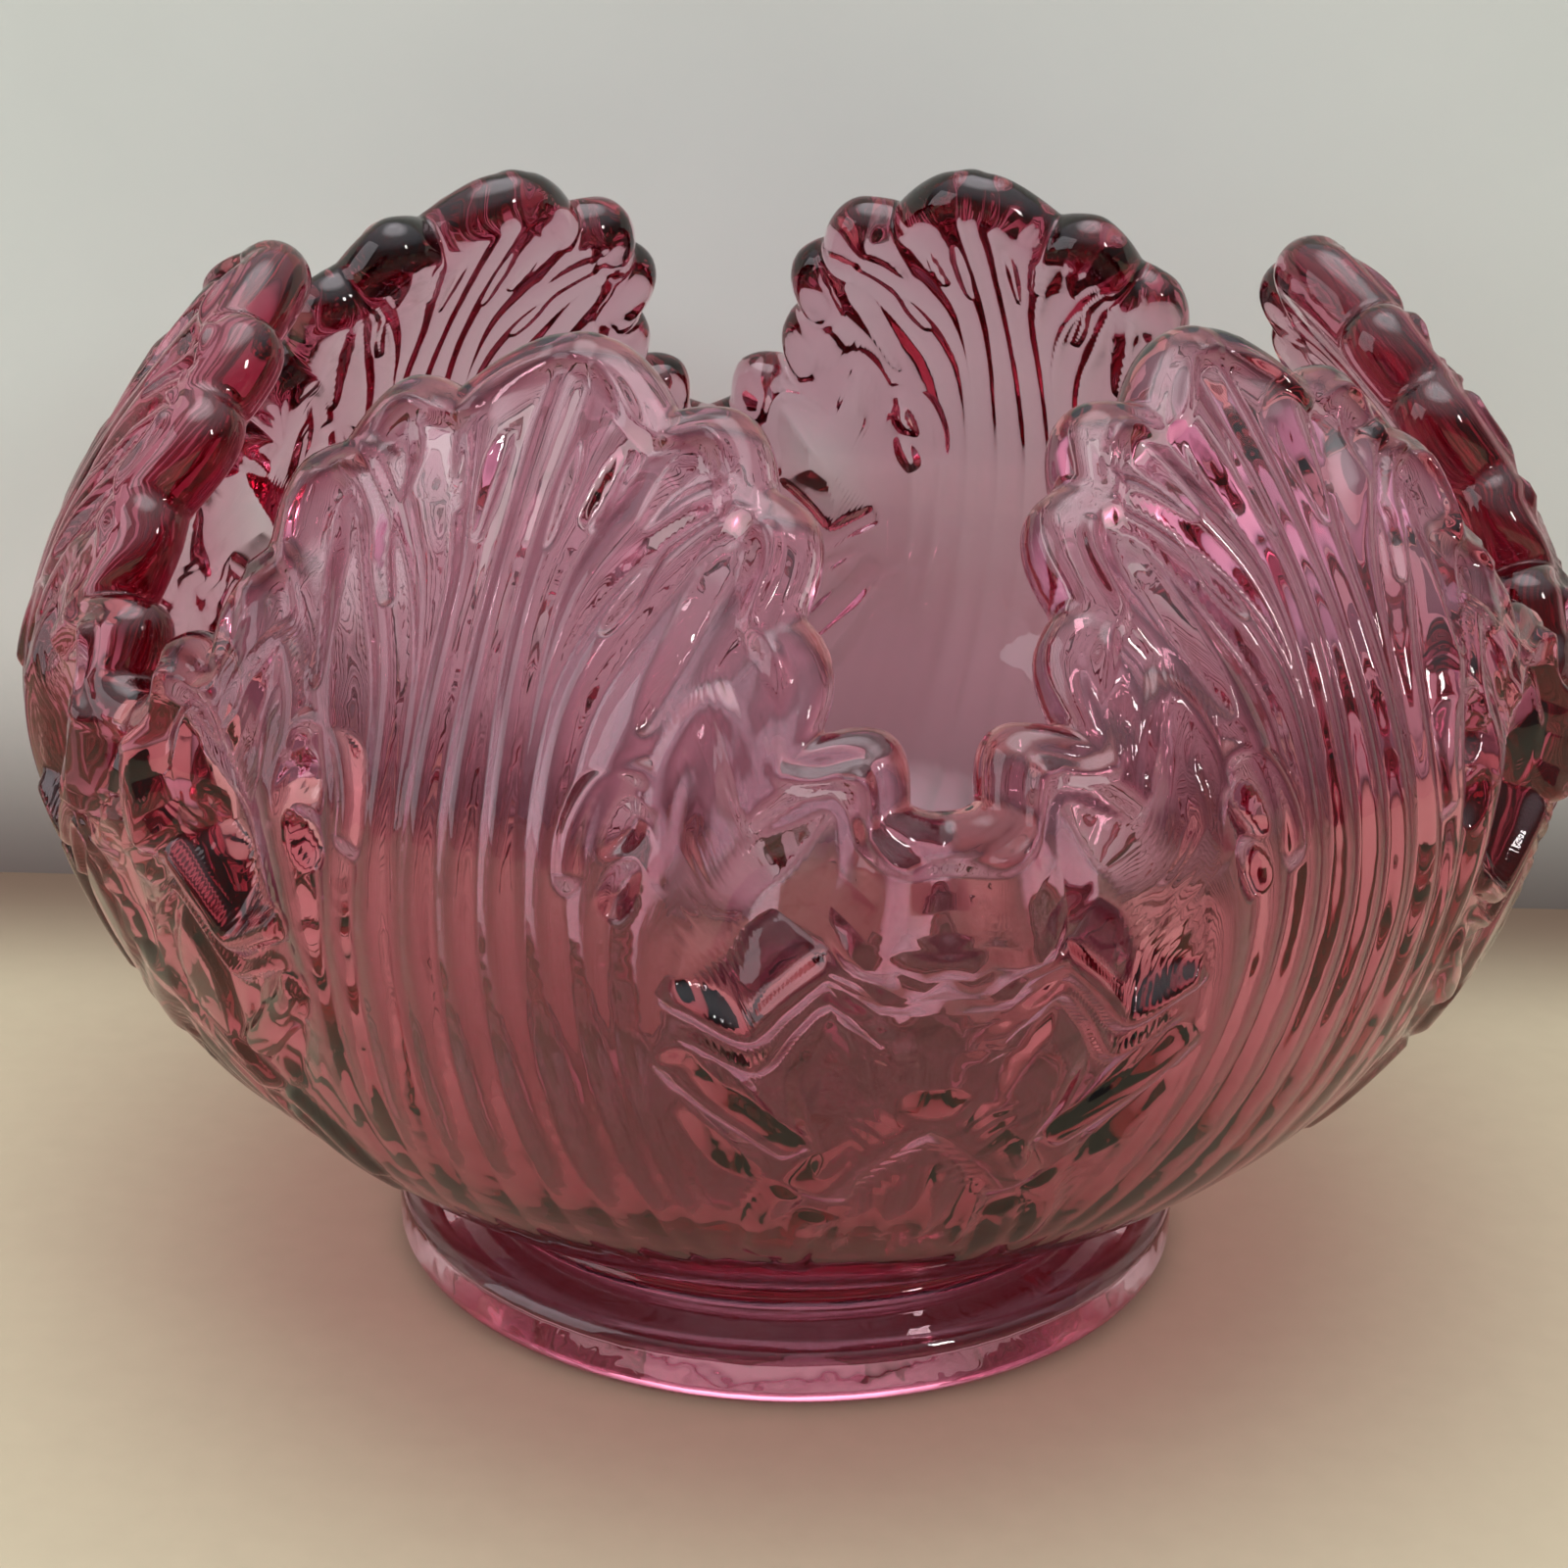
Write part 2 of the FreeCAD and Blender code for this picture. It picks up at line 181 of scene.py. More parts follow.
UNDER_FOOT_SHADOW_REACH = (FOOT_RADIUS - 6, FOOT_RADIUS + 1)
BACKDROP_COLOR = (0.66, 0.73, 0.68)
BACKDROP_GRAIN = 30.0
BACKDROP_CORNER_SHADE = (0.16, 0.15, 0.13, 1)   # painted shade on the backdrop along the table
BACKDROP_CORNER_SHADE_REACH = (-6.0, 40.0)
GRAIN_SHADES = (0.95, 1.04)               # the grain's darkest and palest, as shares of the colour
ROOM_REACH = 3000.0
# Light of the sky by the height it comes from, 0 at the horizon to 1 overhead
SKY = (
    (0.0, (0.15, 0.12, 0.12, 1)),
    (0.35, (0.19, 0.17, 0.175, 1)),
    (0.62, (0.62, 0.60, 0.67, 1)),
    (0.86, (0.95, 0.93, 0.98, 1)),
    (0.96, (3.6, 3.4, 3.6, 1)),
)
SKY_STRENGTH = 1.35
# Lights in metres: place, (width, height), watts and colour
SOFT_TOP = ((-0.1, -0.3, 1.2), (1.1, 0.6), 4.0, (1.0, 0.98, 0.95))
WINDOW = ((0.95, -0.9, 0.75), (0.12, 0.25), 3.0, (1.0, 0.99, 0.97))
SIDE_SOFT = ((-1.0, -0.35, 0.45), (0.8, 0.8), 4.0, (0.95, 0.94, 1.0))
LIGHT_TARGET = Vector((0, 0, 0.05))
BOUNCES = 28              # light has to pass many faces of glass


# ---------------------------------------------------------------- shapes
def smooth_curve(points, x):
    """Smooth curve through (x, y) points: the values and the slopes at x."""
    knots, values = np.asarray(points, float).T
    slopes = np.empty_like(values)
    slopes[1:-1] = (values[2:] - values[:-2]) / (knots[2:] - knots[:-2])
    slopes[0] = (values[1] - values[0]) / (knots[1] - knots[0])
    slopes[-1] = (values[-1] - values[-2]) / (knots[-1] - knots[-2])
    i = np.clip(np.searchsorted(knots, x, side="right") - 1, 0, len(knots) - 2)
    h = knots[i + 1] - knots[i]
    t = (x - knots[i]) / h
    y0, y1, m0, m1 = values[i], values[i + 1], slopes[i], slopes[i + 1]
    value = (
        (1 + 2 * t) * (1 - t) ** 2 * y0 + t * (1 - t) ** 2 * h * m0
        + t * t * (3 - 2 * t) * y1 + t * t * (t - 1) * h * m1
    )
    slope = 6 * t * (t - 1) * (y0 - y1) / h + (1 - t) * (1 - 3 * t) * m0 + t * (3 * t - 2) * m1
    return value, slope


def wall_radius(z):
    """Outer radius of the wall and its slope at heights z."""
    return smooth_curve(WALL_PROFILE, z)


def fade(x, start, end):
    """Smooth step from 0 at start to 1 at end."""
    t = np.clip((x - start) / (end - start), 0.0, 1.0)
    return t * t * (3 - 2 * t)


def climb_table():
    """Heights and the distance climbed along the outer wall to each of them."""
    heights = np.linspace(WALL_PROFILE[0, 0] - 2, WALL_PROFILE[-1, 0] + 4, 600)
    slope = wall_radius(heights)[1]
    step = np.hypot(1, slope) * (heights[1] - heights[0])
    return heights, np.cumsum(step)


CLIMB = climb_table()


def flatten(azimuth, z):
    """The wall unrolled: distance round and distance climbed, in millimetres."""
    return np.radians(azimuth) * wall_radius(z)[0], np.interp(z, *CLIMB)


def lobe_points(i, t):
    """Azimuth, height and lean at t (0 to 1) along lobe i of the leaf edge."""
    (a0, z0, bulge, lean0), (a1, z1, _, lean1) = LEAF_EDGE[i], LEAF_EDGE[i + 1]
    x0, x1 = math.radians(a0) * wall_radius(z0)[0], math.radians(a1) * wall_radius(z1)[0]
    out = 4 * t * (1 - t) * bulge / math.hypot(x1 - x0, z1 - z0)
    x = x0 + (x1 - x0) * t - (z1 - z0) * out
    z = z0 + (z1 - z0) * t + (x1 - x0) * out
    return np.degrees(x / wall_radius(z)[0]), z, lean0 + (lean1 - lean0) * t


def half_edge():
    """The edge from leaf tip to notch as rows of azimuth, height and lean, with distance along it."""
    rows = []
    last = len(LEAF_EDGE) - 2
    for i in range(last + 1):
        t = np.linspace(0.5 if i == 0 else 0.0, 0.5 if i == last else 1.0, LOBE_STEPS + 1)
        rows.append(np.stack(lobe_points(i, t), 1)[0 if i == 0 else 1:])
    rows = np.concatenate(rows)
    x = np.radians(rows[:, 0]) * wall_radius(rows[:, 1])[0]
    along = np.concatenate(([0.0], np.cumsum(np.hypot(np.diff(x), np.diff(rows[:, 1])))))
    return rows, along


def wall_axes(slope):
    """Outward normal and upward tangent of the wall, as (radial, height), from its slope dr/dz."""
    length = np.hypot(1.0, slope)
    return (1 / length, -slope / length), (slope / length, 1 / length)


def curve_through(points, closed=False, steps=9):
    """Smooth curve through the given points, as a dense polyline."""
    points = np.asarray(points, float)
    if closed:
        padded = np.concatenate((points[-1:], points, points[:2]))
    else:
        padded = np.concatenate((2 * points[:1] - points[1:2], points, 2 * points[-1:] - points[-2:-1]))
    pieces = []
    t = np.linspace(0, 1, steps, endpoint=False)[:, None]
    for a, b, c, d in zip(padded[:-3], padded[1:-2], padded[2:-1], padded[3:]):
        pieces.append(b + 0.5 * t * (c - a + t * (2 * a - 5 * b + 4 * c - d + t * (3 * b - a - 3 * c + d))))
    if not closed:
        pieces.append(points[-1:])
    return np.concatenate(pieces)


def distance_to(x, y, line):
    """Distance of points to a polyline, and how far along it (0 to 1) the nearest spot lies."""
    best = np.full(x.shape, 1e9)
    where = np.zeros(x.shape)
    lengths = np.hypot(*np.diff(line, axis=0).T)
    starts = np.concatenate(([0.0], np.cumsum(lengths)))
    for (ax, ay), (bx, by), length, start in zip(line[:-1], line[1:], lengths, starts):
        t = np.clip(((x - ax) * (bx - ax) + (y - ay) * (by - ay)) / max(length, 1e-9) ** 2, 0, 1)
        d = np.hypot(x - ax - t * (bx - ax), y - ay - t * (by - ay))
        near = d < best
        best = np.where(near, d, best)
        where = np.where(near, (start + t * length) / starts[-1], where)
    return best, where


def inside(x, y, outline):
    """True where points lie inside a closed polyline."""
    odd = np.zeros(x.shape, bool)
    for (ax, ay), (bx, by) in zip(outline, np.roll(outline, -1, axis=0)):
        if ay == by:
            continue
        crosses = (ay > y) != (by > y)
        odd ^= crosses & (x < (bx - ax) * (y - ay) / (by - ay) + ax)
    return odd


def near_points(x, y, line, reach):
    """Indices of the points that a feature along line can touch."""
    low, high = line.min(0) - reach, line.max(0) + reach
    return np.nonzero((x > low[0]) & (x < high[0]) & (y > low[1]) & (y < high[1]))


def ribs(azimuth, z):
    """Height of the ribs that swell between the creases."""
    spread = np.abs(azimuth)
    radius = wall_radius(z)[0]
    before = None
    height = np.zeros(z.shape)
    for crease in CREASES:
        line = curve_through(crease)[::-1]
        after = np.interp(z, line[:, 1], line[:, 0])
        before = -after if before is None else before
        gap = np.maximum(after - before, 0.05)
        across = np.clip((spread - before) / gap, 0, 1)
        rise = np.minimum(RIB_RISE * np.radians(gap) * radius, RIB_LIMIT)
        rise *= RIB_AT_FOOT + (1 - RIB_AT_FOOT) * fade(z, *RIB_FADE_Z)
        height += rise * np.sin(np.pi * across) ** RIB_ROUNDNESS
        before = after
    return height


def raise_ridge(height, x, y, feature):
    """Raises height along one ridge."""
    (half_width, top), *points = feature
    line = np.stack(flatten(*curve_through(points).T), 1)
    spots = near_points(x, y, line, half_width)
    if not spots[0].size:
        return
    distance, where = distance_to(x[spots], y[spots], line)
    lift = top * (1 - np.clip(distance / half_width, 0, 1) ** 2)
    lift *= fade(where, 0.0, 0.1) * fade(where, 1.0, 0.9)
    height[spots] = np.maximum(height[spots], lift)


def cut_hollow(depth, x, y, feature):
    """Deepens depth inside one hollow, or raises it inside a cushion."""
    (hollow_depth, bank), *points = feature
    line = np.stack(flatten(*curve_through(points, closed=True).T), 1)
    spots = near_points(x, y, line, 0.0)
    if not spots[0].size:
        return
    distance, _ = distance_to(x[spots], y[spots], np.concatenate((line, line[:1])))
    distance *= inside(x[spots], y[spots], line)
    cut = hollow_depth * np.clip(distance / bank, 0, 1)
    depth[spots] = np.where(distance > 0, cut, depth[spots])


def carving(azimuth, z):
    """Depth of the carving below the outer wall, over half a leaf.

    The neighbouring half leaves are mirror images, and their features can reach over the joints.
    """
    raised = ribs(azimuth, z)
    hollows = np.zeros(z.shape)
    for copy in (azimuth, -azimuth, 2 * HALF_LEAF - azimuth):
        x, y = flatten(copy, z)
        for feature in RIDGES:
            raise_ridge(raised, x, y, feature)
        for feature in HOLLOWS:
            cut_hollow(hollows, x, y, feature)
    rows, _ = half_edge()
    edge = np.stack(flatten(rows[:, 0], rows[:, 1]), 1)
    x, y = flatten(azimuth, z)
    border, _ = distance_to(x, y, edge)
    sunk = BEAD_HEIGHT * fade(border, BEAD * 0.75, BEAD * 1.1)
    sunk *= BEAD_AT_FOOT + (1 - BEAD_AT_FOOT) * fade(z, *BEAD_FADE_Z)
    relief = hollows + sunk - raised * fade(border, BEAD * 0.5, BEAD)
    return (relief - BEAD_HEIGHT * BEAD_PROUD) * fade(z, *CARVING_FADE_Z)


def plain_edge(p, along):
    """The leaf edge without its lobes, at p (0 at the tip to 1 in the notch): azimuth and height."""
    cusps = along[LOBE_STEPS:-1:LOBE_STEPS] / along[-1]
    share = np.concatenate(([0.0], cusps, [1.0]))
    azimuths = np.concatenate(([0.0], LEAF_EDGE[1:-1, 0], [HALF_LEAF]))
    heights = np.concatenate(([LEAF_EDGE[0, 1] + LEAF_EDGE[0, 2] / 2], LEAF_EDGE[1:, 1]))
    curves = (np.stack((share, values), 1) for values in (azimuths, heights))
    return np.stack([smooth_curve(curve, p)[0] for curve in curves])


def even_columns(along):
    """Where the columns meet the edge: spaced evenly along it and round the bowl in equal parts."""
    p = np.linspace(0, 1, 400)
    spread = (p + plain_edge(p, along)[0] / HALF_LEAF) / 2
    return np.interp(np.linspace(0, 1, HALF_COLUMNS + 1), spread, p)


def climb(p, top, plain_top, inward, t):
    """Azimuth and height at t (0 at the seat to 1 at the rim) up each column of points."""
    foot = np.stack((HALF_LEAF * p, np.full_like(p, SEAT_Z)))
    above = np.stack((HALF_LEAF * p, SEAT_Z + START_HANDLE * (plain_top[1] - SEAT_Z)))
    below = plain_top + inward * RUN_IN
    curve = [c[:, :, None] for c in (foot, above, below, plain_top)]
    return (
        (1 - t) ** 3 * curve[0] + 3 * t * (1 - t) ** 2 * curve[1]
        + 3 * t * t * (1 - t) * curve[2] + t ** 3 * curve[3]
        + t ** LOBE_REACH * (top - plain_top)[:, :, None]
    )


def seat_points(p):
    """Points under the bowl, from its middle out, where it sits on the foot."""
    azimuth, radius = np.broadcast_arrays(HALF_LEAF * p[:, None], SEAT_RADII)
    z = np.full(radius.shape, SEAT_Z)
    z[:, -1] += SEAT_EASING
    return azimuth, radius, z


def outer_points(azimuth, z):
    """Points of the carved outer wall, and the depth of the carving at each."""
    radius, slope = wall_radius(z)
    out, _ = wall_axes(slope)
    depth = carving(azimuth, z)
    return (azimuth, radius - out[0] * depth, z - out[1] * depth), depth


def rim_points(azimuth, z, lean, depth):
    """Points over the rounded rim, from the outer wall, which is carved to depth there."""
    radius, slope = wall_radius(z)
    out, tangent = wall_axes(slope)
    turn = np.pi * np.arange(1, RIM_ROWS + 1) / (RIM_ROWS + 1)
    through = (WALL - depth) / 2 * (np.cos(turn) - 1) - depth
    rise = WALL / 2 * np.sin(turn)
    rim_radius = radius + out[0] * through + tangent[0] * rise * np.cos(lean)
    rim_z = z + out[1] * through + tangent[1] * rise * np.cos(lean)
    return azimuth + np.degrees(rise * np.sin(lean) / rim_radius), rim_radius, rim_z


def inner_points(azimuth, z):
    """Points of the smooth inner wall."""
    radius, slope = wall_radius(z)
    out, _ = wall_axes(slope)
    return azimuth, radius - out[0] * WALL, z - out[1] * WALL


def floor_points(azimuth, radius, z):
    """Points that carry the inner wall on, from its last row to near the middle of the floor."""
    azimuth, radius, z = azimuth[:, -1:], radius[:, -1:], z[:, -1:]
    out, _ = wall_axes(wall_radius(SEAT_Z)[1])
    bend = (z - FLOOR_Z) / -out[1] * out[0]
    t = np.linspace(0, 1, FLOOR_ROWS + 1)[1:-1]
    floor_radius = (1 - t) ** 2 * radius + 2 * t * (1 - t) * (radius - bend)
    floor_z = FLOOR_Z + (1 - t) ** 2 * (z - FLOOR_Z)
    return azimuth + 0 * t, floor_radius, floor_z


def wall_columns():
    """Azimuth, radius and height of every wall point over half a leaf, one row per column."""
    rows, along = half_edge()
    p = even_columns(along)
    azimuth, z, lean = (np.interp(p * along[-1], along, rows[:, n]) for n in range(3))
    lean = np.radians(lean)
    radius, slope = wall_radius(z)
    _, tangent = wall_axes(slope)
    inward = -np.stack((np.degrees(np.sin(lean) / radius), np.cos(lean) * tangent[1]))
    top = np.stack((azimuth, z)) + inward * WALL / 2
    plain_top = plain_edge(p, along) + inward * WALL / 2
    up = climb(p, top, plain_top, inward, np.linspace(0, 1, OUTER_ROWS + 1))
    down = climb(p, top, plain_top, inward, np.linspace(1, 0, INNER_ROWS + 1))
    outer, depth = outer_points(*up)
    rim = rim_points(*top[:, :, None], lean[:, None], depth[:, -1:])
    inner = inner_points(*down)
    parts = (seat_points(p), outer, rim, inner, floor_points(*inner))
    return [np.concatenate(values, axis=1) for values in zip(*parts)]


def ring_mesh(name, loops):
    """Closed mesh from points (round the axis, along the section, xyz), with a fan over either end."""
    around, along, _ = loops.shape
    index = np.arange(around * along).reshape(around, along)
    after = np.roll(index, -1, axis=0)
    quads = np.stack((index[:, :-1], after[:, :-1], after[:, 1:], index[:, 1:]), -1)
    first, last = around * along, around * along + 1
    points = np.concatenate((loops.reshape(-1, 3), loops[:, :1].mean(0), loops[:, -1:].mean(0)))
    faces = quads.reshape(-1, 4).tolist()
    faces += [[int(a), int(b), first] for a, b in zip(after[:, 0], index[:, 0])]
    faces += [[int(a), int(b), last] for a, b in zip(index[:, -1], after[:, -1])]
    mesh = bpy.data.meshes.new(name)
    mesh.from_pydata((points * MM).tolist(), [], faces)
    mesh.polygons.foreach_set("use_smooth", np.ones(len(mesh.polygons), bool))
    mesh.update()
    piece = bpy.data.objects.new(name, mesh)
    bpy.context.scene.collection.objects.link(piece)
    return piece


def build_bowl():
    """The bowl: half a leaf's columns mirrored and turned round the six leaves."""
    azimuth, radius, z = wall_columns()
    offsets = np.arange(-HALF_COLUMNS, HALF_COLUMNS)
    columns = []
    for leaf in range(LEAVES):
        middle = HALF_LEAF * (2 * leaf + 1)
        turned = middle + np.sign(offsets)[:, None] * azimuth[np.abs(offsets)]
        columns.append(np.stack((turned, radius[np.abs(offsets)], z[np.abs(offsets)]), -1))
    columns = np.concatenate(columns)
    angle = np.radians(columns[..., 0])
    radius, height = columns[..., 1], columns[..., 2]
    return ring_mesh("bowl_glass", np.stack((radius * np.sin(angle), -radius * np.cos(angle), height), -1))


def arc(centre, radius, start, end, steps=10):
    """Arc as (radius, height) points; angles in degrees from outward, counter-clockwise."""
    angle = np.radians(np.linspace(start, end, steps))
    return [(centre[0] + radius * math.cos(a), centre[1] + radius * math.sin(a)) for a in angle]


def build_foot():
    """The foot, turned from its section, which runs from the middle of its underside to its top."""
    top = SEAT_Z - SEAT_GAP
    edge = FOOT_RADIUS - FOOT_EDGE
    lip = RECESS_RADIUS + RECESS_DEPTH
    section = [(8.0, RECESS_DEPTH), (20.0, RECESS_DEPTH), (RECESS_RADIUS - 1.2, RECESS_DEPTH)]
    section += [(RECESS_RADIUS - 0.2, RECESS_DEPTH - 0.1), (RECESS_RADIUS + 0.5, RECESS_DEPTH - 0.5)]
    section += [(lip - 0.35, 0.35), (lip + 0.2, 0.05), (lip + 0.7, 0.0)]
    section += arc((edge, FOOT_EDGE), FOOT_EDGE, -90, 0)
    section += arc((edge, FOOT_FACE - FOOT_EDGE), FOOT_EDGE, 0, 90)
    section += [(37.5, 6.85), (36.4, 7.0)]
    section += arc((NECK_RADIUS + NECK_FILLET, top - 0.1), NECK_FILLET, 270, 182, 8)
    section += [(NECK_RADIUS - 0.1, top), (NECK_RADIUS - 0.4, top), (24.0, top), (8.0, top)]
    section = np.array(section)
    angle = np.linspace(0, 2 * math.pi, FOOT_SEGMENTS, endpoint=False)[:, None]
    radius, z = section[None, :, 0], section[None, :, 1]
    points = np.stack((radius * np.sin(angle), -radius * np.cos(angle), z + 0 * angle), -1)
    return ring_mesh("foot_glass", points)


# ---------------------------------------------------------------- materials
def new_material(name):
    """An empty material and its node tree."""
    material = bpy.data.materials.new(name)
    material.use_nodes = True
    tree = material.node_tree
    tree.nodes.clear()
    return material, tree


def add(tree, kind, **settings):
    """A new node with its inputs and settings given by name."""
    node = tree.nodes.new(kind)
    for key, value in settings.items():
        if key in node.inputs:
            node.inputs[key].default_value = value
        else:
            setattr(node, key, value)
    return node


def shaded(tree, distance, reach, shade, color):
    """Colour that turns from shade to color, a value or a link, over a reach of distance."""
    ramp = add(tree, "ShaderNodeMapRange", interpolation_type="SMOOTHSTEP")
    ramp.inputs["From Min"].default_value = reach[0] * MM
    ramp.inputs["From Max"].default_value = reach[1] * MM
    tree.links.new(distance, ramp.inputs["Value"])
    mix = add(tree, "ShaderNodeMix", data_type="RGBA")
    mix.inputs["A"].default_value = shade
    tree.links.new(ramp.outputs["Result"], mix.inputs["Factor"])
    if isinstance(color, tuple):
        mix.inputs["B"].default_value = color
    else:
        tree.links.new(color, mix.inputs["B"])
    return mix.outputs["Result"]


def glass_surface(tree, low_skin_and_shade, high_skin):
    """Fire-polished surface: slightly wavy, with patches of faint haze."""
    link = tree.links.new
    coords = add(tree, "ShaderNodeTexCoord")
    wave = add(tree, "ShaderNodeTexNoise", Scale=WAVE_GRAIN, Detail=2.0)
    link(coords.outputs["Object"], wave.inputs["Vector"])
    bump = add(tree, "ShaderNodeBump", Strength=WAVE_STRENGTH, Distance=WAVE_DEPTH * MM)
    link(wave.outputs["Fac"], bump.inputs["Height"])
    haze = add(tree, "ShaderNodeTexNoise", Scale=HAZE_GRAIN, Detail=4.0)
    link(coords.outputs["Object"], haze.inputs["Vector"])
    rough = add(tree, "ShaderNodeMapRange")
    rough.inputs["From Min"].default_value = HAZE_NOISE[0]
    rough.inputs["From Max"].default_value = HAZE_NOISE[1]
    rough.inputs["To Max"].default_value = HAZE_ROUGHNESS
    link(haze.outputs["Fac"], rough.inputs["Value"])
    height = add(tree, "ShaderNodeSeparateXYZ")
    link(coords.outputs["Object"], height.inputs["Vector"])
    # painted shade: low on the bowl the surfaces let through a darker, redder tint
    skin = shaded(tree, height.outputs["Z"], BELLY_FADE_Z, low_skin_and_shade, high_skin)
    body = add(tree, "ShaderNodeBsdfPrincipled", IOR=GLASS_IOR)
    body.inputs["Transmission Weight"].default_value = 1.0
    body.inputs["Specular IOR Level"].default_value = GLASS_SHINE
    link(skin, body.inputs["Base Color"])
    link(rough.outputs["Result"], body.inputs["Roughness"])
    link(bump.outputs["Normal"], body.inputs["Normal"])
    return body.outputs["BSDF"]


def glass(name, density, shadow, low_skin_and_shade, high_skin):
    """Clear glass tinted by its thickness, whose shadow on the table has a plain tint of its own."""
    material, tree = new_material(name)
    link = tree.links.new
    output = add(tree, "ShaderNodeOutputMaterial")
    clear = add(tree, "ShaderNodeBsdfTransparent", Color=shadow)
    path = add(tree, "ShaderNodeLightPath")
    mix = add(tree, "ShaderNodeMixShader")
    link(path.outputs["Is Shadow Ray"], mix.inputs["Fac"])
    link(glass_surface(tree, low_skin_and_shade, high_skin), mix.inputs[1])
    link(clear.outputs["BSDF"], mix.inputs[2])
    link(mix.outputs["Shader"], output.inputs["Surface"])
    tint = add(tree, "ShaderNodeVolumeAbsorption", Color=GLASS_TINT, Density=density)
    link(tint.outputs["Volume"], output.inputs["Volume"])
    return material


def darken_table(tree, place, color):
    """The table's colour with painted shade: a deep rose shadow under the foot, and darker along the
    backdrop.
    """
    reach = add(tree, "ShaderNodeVectorMath", operation="LENGTH")
    tree.links.new(place, reach.inputs[0])
    # painted rose shadow under the foot
    color = shaded(tree, reach.outputs["Value"], UNDER_FOOT_SHADOW_REACH, UNDER_FOOT_SHADOW, color)
    split = add(tree, "ShaderNodeSeparateXYZ")
    tree.links.new(place, split.inputs["Vector"])
    past = add(tree, "ShaderNodeMath", operation="SUBTRACT")
    tree.links.new(split.outputs["Y"], past.inputs[0])
    past.inputs[1].default_value = WALL_BEHIND * MM
    apart = add(tree, "ShaderNodeMath", operation="ABSOLUTE")
    tree.links.new(past.outputs["Value"], apart.inputs[0])
    # painted shade on the table along the backdrop
    return shaded(tree, apart.outputs["Value"], TABLE_CORNER_SHADE_REACH, TABLE_CORNER_SHADE, color)


def darken_backdrop(tree, place, color):
    """The backdrop's colour, with painted shade along the table."""
    split = add(tree, "ShaderNodeSeparateXYZ")
    tree.links.new(place, split.inputs["Vector"])
    return shaded(tree, split.outputs["Z"], BACKDROP_CORNER_SHADE_REACH, BACKDROP_CORNER_SHADE, color)


def matte(name, color, grain, darken):
    """Pale matte surface with a faint grain and the painted shade that darken adds. Its back is clear, so
    the backdrop hides nothing.
    """
    material, tree = new_material(name)
    link = tree.links.new
    output = add(tree, "ShaderNodeOutputMaterial")
    coords = add(tree, "ShaderNodeTexCoord")
    noise = add(tree, "ShaderNodeTexNoise", Scale=grain, Detail=5.0)
    link(coords.outputs["Object"], noise.inputs["Vector"])
    shade = add(tree, "ShaderNodeMix", data_type="RGBA")
    for socket, share in zip("AB", GRAIN_SHADES):
        shade.inputs[socket].default_value = [c * share for c in color] + [1]
    link(noise.outputs["Fac"], shade.inputs["Factor"])
    body = add(tree, "ShaderNodeBsdfPrincipled", Roughness=0.85)
    link(darken(tree, coords.outputs["Object"], shade.outputs["Result"]), body.inputs["Base Color"])
    side = add(tree, "ShaderNodeNewGeometry")
    clear = add(tree, "ShaderNodeBsdfTransparent")
    seen = add(tree, "ShaderNodeMixShader")
    link(side.outputs["Backfacing"], seen.inputs["Fac"])
    link(body.outputs["BSDF"], seen.inputs[1])
    link(clear.outputs["BSDF"], seen.inputs[2])
    link(seen.outputs["Shader"], output.inputs["Surface"])
    return material


# ---------------------------------------------------------------- room, light and camera
def rotate_to_camera(piece):
    """Turns something placed for a camera on -Y to stand before the real camera azimuth."""
    piece.matrix_world = Matrix.Rotation(math.radians(CAMERA_AZIMUTH), 4, "Z") @ piece.matrix_world
    return piece


def plane(name, corners, material):
    """Flat surface of the room, which is not part of the object."""
    mesh = bpy.data.meshes.new(name)
    mesh.from_pydata(corners, [], [list(range(len(corners)))])
    mesh.materials.append(material)
    piece = bpy.data.objects.new(name, mesh)
    bpy.context.scene.collection.objects.link(piece)
    return rotate_to_camera(piece)


def build_room():
    """A pale table and, standing on it behind the bowl, a low pale backdrop."""
    far = ROOM_REACH * MM
    back = WALL_BEHIND * MM
    top = WALL_HEIGHT * MM
    plane("table", [(-far, -far, 0), (far, -far, 0), (far, far, 0), (-far, far, 0)],
          matte("table", TABLE_COLOR, TABLE_GRAIN, darken_table))
    plane("backdrop", [(-far, back, 0), (far, back, 0), (far, back, top), (-far, back, top)],
          matte("backdrop", BACKDROP_COLOR, BACKDROP_GRAIN, darken_backdrop))


def area_light(name, place, size, power, color):
    """Rectangular light aimed at the middle of the bowl."""
    data = bpy.data.lights.new(name, "AREA")
    data.shape = "RECTANGLE"
    data.size, data.size_y = size
    data.energy = power
    data.color = color
    light = bpy.data.objects.new(name, data)
    bpy.context.scene.collection.objects.link(light)
    turn = (LIGHT_TARGET - Vector(place)).to_track_quat("-Z", "Y").to_matrix().to_4x4()
    light.matrix_world = Matrix.Translation(place) @ turn
    return rotate_to_camera(light)


def build_sky():
    """A dim warm room that brightens overhead."""
    world = bpy.data.worlds.new("studio")
    bpy.context.scene.world = world
    world.use_nodes = True
    tree = world.node_tree
    tree.nodes.clear()
    output = add(tree, "ShaderNodeOutputWorld")
    back = add(tree, "ShaderNodeBackground", Strength=SKY_STRENGTH)
    coords = add(tree, "ShaderNodeTexCoord")
    split = add(tree, "ShaderNodeSeparateXYZ")
    tree.links.new(coords.outputs["Generated"], split.inputs["Vector"])
    ramp = add(tree, "ShaderNodeValToRGB")
    stops = ramp.color_ramp.elements
    for stop, (height, color) in zip(stops, (SKY[0], SKY[-1])):
        stop.position = height
        stop.color = color
    for height, color in SKY[1:-1]:
        stops.new(height).color = color
    tree.links.new(split.outputs["Z"], ramp.inputs["Fac"])
    tree.links.new(ramp.outputs["Color"], back.inputs["Color"])
    tree.links.new(back.outputs["Background"], output.inputs["Surface"])


